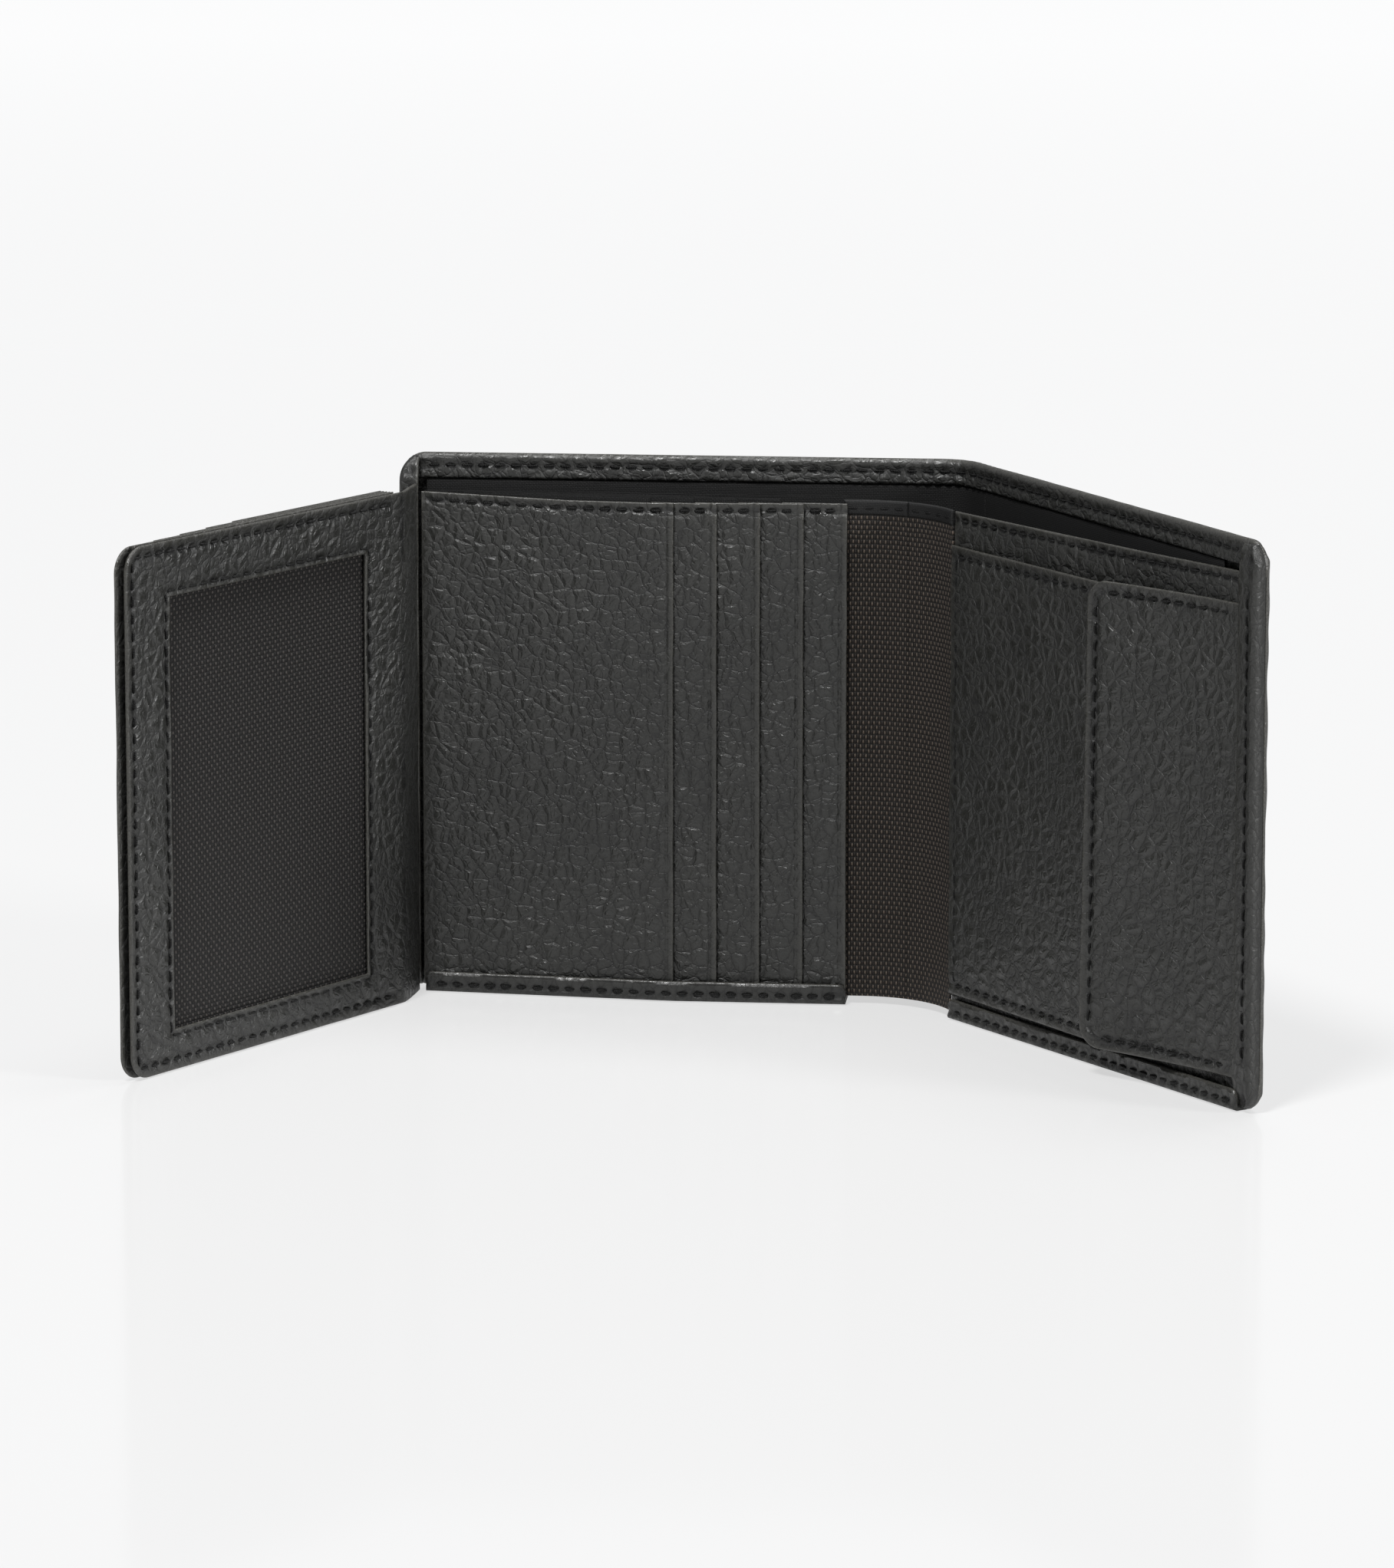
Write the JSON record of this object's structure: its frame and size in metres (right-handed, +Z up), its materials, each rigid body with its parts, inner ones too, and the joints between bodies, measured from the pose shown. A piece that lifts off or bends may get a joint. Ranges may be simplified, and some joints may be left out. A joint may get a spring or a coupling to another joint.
{
  "type": "trifold wallet",
  "caption": "Black grained leather trifold wallet standing half open, with card pockets, a mesh window flap, a coin pocket with a flap, and a full length note compartment.",
  "frame": {"origin": "middle of the resting wallet's footprint, on the surface that it stands on", "axes": "+X along the card panel from the identity flap to the coin side, +Y from the open side to the outside of the back cover, +Z up along the folds"},
  "size_m": [0.1986, 0.092, 0.0988],
  "materials": {
    "leather": "satin black full-grain leather with pebbled grain and darker burnished edges",
    "lining": "matt black fine lining cloth",
    "woven_fabric": "brown-black basket-woven fabric",
    "window_mesh": "black fine net",
    "snap_metal": "dark nickel press stud"
  },
  "bodies": {
    "card_side": {"back_cover": "leather", "back_cover_lining": "lining", "card_pocket_1": "leather", "card_pocket_2": "leather", "card_pocket_3": "leather", "card_pocket_4": "leather", "card_pocket_5": "leather", "card_sleeve_2": "lining", "card_sleeve_3": "lining", "card_sleeve_4": "lining", "card_sleeve_5": "lining", "card_carrier": "lining", "flap_hinge_strip": "leather", "fold_fabric": "woven_fabric"},
    "spine": {"spine_cover": "leather", "spine_lining": "lining"},
    "coin_side": {"front_cover": "leather", "front_cover_lining": "lining", "coin_base_panel": "leather", "coin_pocket_front": "leather", "coin_gusset_bottom": "lining", "coin_gusset_top": "lining", "snap_stud": "snap_metal", "snap_washer": "snap_metal"},
    "coin_flap_side": {"coin_flap": "leather", "coin_flap_lining": "lining", "snap_socket": "snap_metal"},
    "identity_flap": {"flap_window_frame": "leather", "flap_mesh_window": "window_mesh", "flap_back_panel": "leather", "flap_pocket_1": "leather", "flap_pocket_2": "leather", "flap_pocket_3": "leather", "flap_pocket_4": "leather"}
  },
  "joints": [
    {"name": "spine_fold", "type": "hinge", "parent": "card_side", "child": "spine", "pos_m": [0.02381, 0.04398, 0], "axis": [0, 0, -1], "range_deg": [-15, 59], "deforming": ["fold_fabric"]},
    {"name": "front_fold", "type": "hinge", "parent": "spine", "child": "coin_side", "pos_m": [0.05138, 0.02873, 0], "axis": [0, 0, -1], "range_deg": [-15, 59]},
    {"name": "identity_flap_fold", "type": "hinge", "parent": "card_side", "child": "identity_flap", "pos_m": [-0.05789, 0.02938, 0], "axis": [0, 0, 1], "range_deg": [-60, 120]},
    {"name": "coin_flap_fold", "type": "hinge", "parent": "coin_side", "child": "coin_flap_side", "pos_m": [0.0924, -0.04258, 0], "axis": [0, 0, 1], "range_deg": [0, 135]}
  ],
  "couplings": [
    {"joint": "front_fold", "follows": "spine_fold", "ratio": 1}
  ]
}
